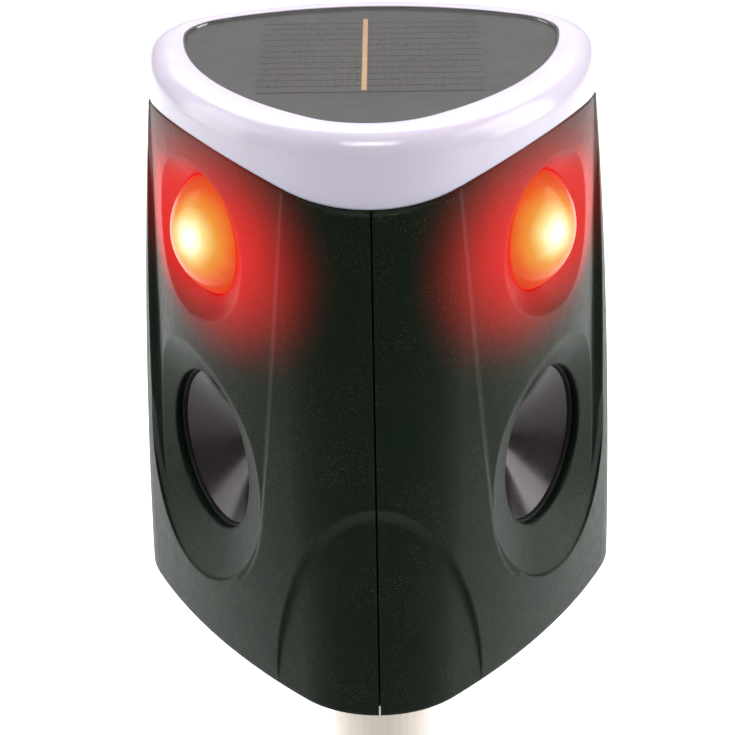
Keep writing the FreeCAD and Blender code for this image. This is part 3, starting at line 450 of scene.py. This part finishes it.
def hank_points():
    """Turns of the tied hank: round folds below and above, pinched at the tie."""
    points = []
    side_steps = 4
    fold_steps = 4
    for turn in range(HANK_TURNS):
        low_r = FOLD_LOW_R - 0.0012 * (turn % 2) - 0.0004 * turn
        high_r = FOLD_HIGH_R - 0.0010 * ((turn + 1) % 2)
        low_z = HANK_LOW + low_r + 0.0022 * ((turn * 2) % 3)
        high_z = HANK_HIGH - high_r - 0.0016 * turn
        for leg in (-1, 1):
            for i in range(side_steps):
                t = (i + 0.5) / side_steps
                t = t if leg < 0 else 1 - t
                z = high_z + (low_z - high_z) * t
                lobe, reach = (high_r, high_z - WAIST_Z) if z > WAIST_Z else (low_r, WAIST_Z - low_z)
                open_up = math.sin(math.pi / 2 * min(abs(z - WAIST_Z) / reach, 1)) ** 1.3
                x = leg * (WAIST + (lobe - WAIST) * open_up)
                share = turn + (0.5 * t if leg < 0 else 1 - 0.5 * t)
                points.append((x, CABLE_Y + HANK_STEP * (share - HANK_TURNS / 2), z))
            radius, centre, sign = (low_r, low_z, -1) if leg < 0 else (high_r, high_z, 1)
            if leg > 0 and turn == HANK_TURNS - 1:
                break
            for i in range(fold_steps):
                a = math.pi * (i + 0.5) / fold_steps
                x = leg * radius * math.cos(a) * FOLD_REACH
                share = turn + (0.5 if leg < 0 else 1.0)
                points.append((x, CABLE_Y + HANK_STEP * (share - HANK_TURNS / 2),
                               centre + sign * radius * math.sin(a) * FOLD_REACH))
    return points


cable = round_curve("charging_cable", LEAD + hank_points() + TAIL, CORD_D)
finish_piece(cable, "cord_black", "cable", "cable_lead", "cable_hank", "cable_tail")


def plug_boot():
    """Barrel plug's moulded boot: fine grip rings above a ribbed strain relief."""
    top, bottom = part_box("dc_plug_boot")[1].z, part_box("dc_plug_boot")[0].z
    span = top - bottom
    profile = [(0.0027, 0.0), (0.0029, 0.0004)]
    for rib in range(4):
        z = 0.0016 + rib * 0.0034
        r = 0.0030 + rib * 0.00022
        profile += [(r - 0.0005, z - 0.0006), (r, z), (r, z + 0.0012), (r - 0.0005, z + 0.0018)]
    profile += [(0.0042, 0.0146), (0.0048, 0.0152)]
    for ring in range(3):
        z = 0.0200 + ring * 0.0016
        profile += [(0.0050, z - 0.0005), (0.0047, z - 0.0002), (0.0047, z + 0.0002), (0.0050, z + 0.0005)]
    profile += [(0.0050, span - 0.0008), (0.0047, span - 0.0002), (0.0043, span)]
    return lathe("dc_boot_ribbed", profile, (0, CABLE_Y, bottom))


def tie_wire():
    """Twist tie round the hank's waist: a slack turn and two twisted ends standing off the front."""
    low = Vector((0, CABLE_Y, WAIST_Z))
    turn = []
    steps = 14
    for i in range(steps):
        a = 2 * math.pi * i / steps - math.pi / 2
        turn.append(low + Vector((0.0112 * math.cos(a), 0.0098 * math.sin(a), 0.0016 * math.sin(2 * a))))
    ends = [low + Vector((0.001, 0.0098, 0)), low + Vector((0.003, 0.0108, 0.003))]
    for i in range(7):
        a = 1.9 * i
        ends.append(low + Vector((0.004 + 0.0016 * i, 0.0106 + 0.0009 * math.cos(a), 0.004 + 0.0024 * i)))
    return turn, ends


boot = finish_piece(plug_boot(), "cord_black", "cable", "dc_plug_boot")
tie_turn, tie_ends = tie_wire()
tie = finish_piece(round_curve("tie_turn", tie_turn, TIE_D, closed=True), "cord_black", "cable", "twist_tie")
tie_tail = finish_piece(round_curve("tie_tail", tie_ends, TIE_D), "cord_black", "cable")


# ---------------------------------------------------------------- studio and camera
def plane(name, size, z):
    def build(bm):
        corners = [bm.verts.new((x * size, y * size, z)) for x, y in ((-1, -1), (1, -1), (1, 1), (-1, 1))]
        bm.faces.new(corners)
    return new_mesh(name, build, smooth=False)


def softbox(name, place, aim, size, power, spread=180):
    data = bpy.data.lights.new(name, "AREA")
    data.shape = "RECTANGLE"
    data.size, data.size_y = size
    data.energy = power
    data.spread = math.radians(spread)
    lamp = bpy.data.objects.new(name, data)
    lamp.location = place
    lamp.rotation_euler = (Vector(aim) - Vector(place)).to_track_quat("-Z", "Y").to_euler()
    bpy.context.scene.collection.objects.link(lamp)


def studio():
    """Pale floor and world, a big light behind that whitens the floor, one box each side and one above."""
    floor = plane("studio_floor", 9.0, FLOOR_Z)
    g = Graph("studio_floor")
    color = g.mix(g.noise(1.2, 2), (0.86, 0.86, 0.86), (0.89, 0.89, 0.89))
    floor.data.materials.append(g.set(color=color, rough=0.8))
    world = bpy.data.worlds.new("studio")
    world.use_nodes = True
    world.node_tree.nodes["Background"].inputs["Color"].default_value = (1, 1, 1, 1)
    world.node_tree.nodes["Background"].inputs["Strength"].default_value = 0.28
    bpy.context.scene.world = world
    middle = (0, 0, HEAD_Z + 0.08)       # of the head
    softbox("back_top", (0, 2.3, 2.3), (0, 1.5, FLOOR_Z), (4.2, 2.4), 92, spread=120)
    softbox("left_box", (-1.6, 0.45, 0.70), middle, (0.9, 1.4), 8)
    softbox("right_box", (1.6, 0.30, 0.70), middle, (0.9, 1.4), 15)
    softbox("top_box", (0, -0.75, 1.55), middle, (0.9, 0.4), 1.2, spread=60)
    bpy.context.scene.view_settings.view_transform = "Standard"


def camera():
    """Looks down on the front edge from a tripod, slightly rolled."""
    distance, aim_height = 0.781, 0.0741
    tilt, turn, roll = math.radians(24.55), math.radians(0.56), math.radians(-1.03)
    aim = Vector((0, 0, HEAD_Z + aim_height))
    away = Vector((math.sin(turn) * math.cos(tilt), -math.cos(turn) * math.cos(tilt), math.sin(tilt)))
    data = bpy.data.cameras.new("camera")
    data.sensor_width = 36.0
    data.lens = 119.07
    data.clip_start = 0.02
    obj = bpy.data.objects.new("camera", data)
    look = (-away).to_track_quat("-Z", "Y").to_matrix() @ Matrix.Rotation(roll, 3, "Z")
    obj.matrix_world = Matrix.Translation(aim + away * distance) @ look.to_4x4()
    bpy.context.scene.collection.objects.link(obj)
    bpy.context.scene.camera = obj


studio()
camera()
